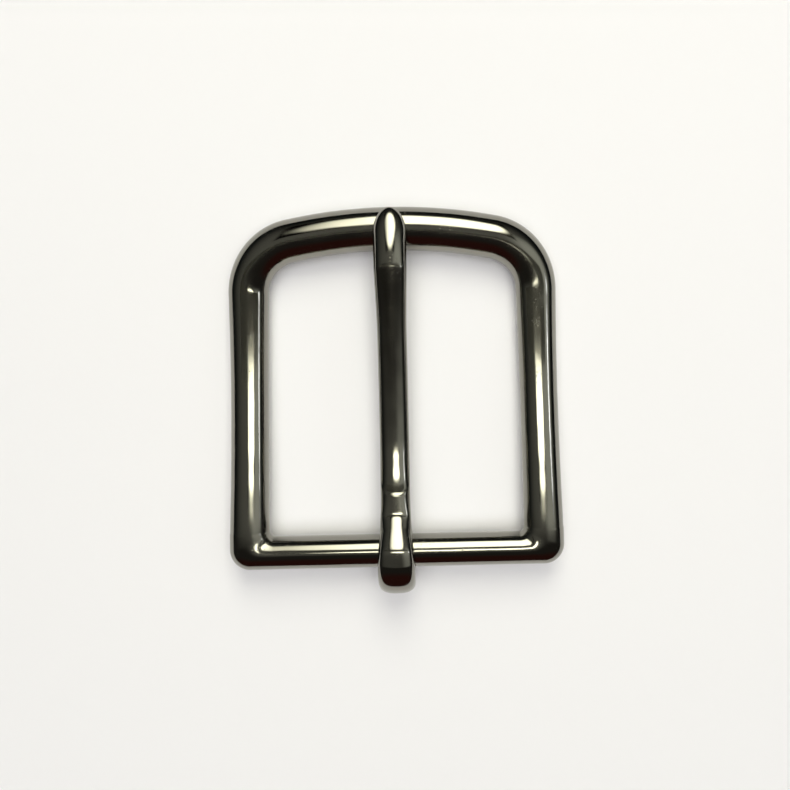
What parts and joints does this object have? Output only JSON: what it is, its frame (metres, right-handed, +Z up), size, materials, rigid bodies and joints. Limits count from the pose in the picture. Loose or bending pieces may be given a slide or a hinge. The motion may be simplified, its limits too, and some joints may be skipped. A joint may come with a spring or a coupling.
{
  "type": "belt buckle",
  "caption": "Heel-bar belt buckle: a cast frame with a bowed top bar, and a tongue that turns on the heel bar and rests on the top bar.",
  "frame": {"origin": "on the surface that the buckle lies on, under the middle of its bounding box", "axes": "+Z up out of the buckle's face, +Y from the heel bar to the top bar along the tongue, X along the heel bar"},
  "size_m": [0.051, 0.0584, 0.0103],
  "materials": {
    "polished_metal": "polished nickel plate, dark and slightly warm, with fine handling scratches"
  },
  "bodies": {
    "frame": {"frame": "polished_metal"},
    "tongue": {"tongue": "polished_metal"}
  },
  "joints": [
    {"name": "tongue_hinge", "type": "hinge", "parent": "frame", "child": "tongue", "pos_m": [0, -0.02314, 0.00427], "axis": [1, 0, 0], "range_deg": [0, 346]}
  ]
}
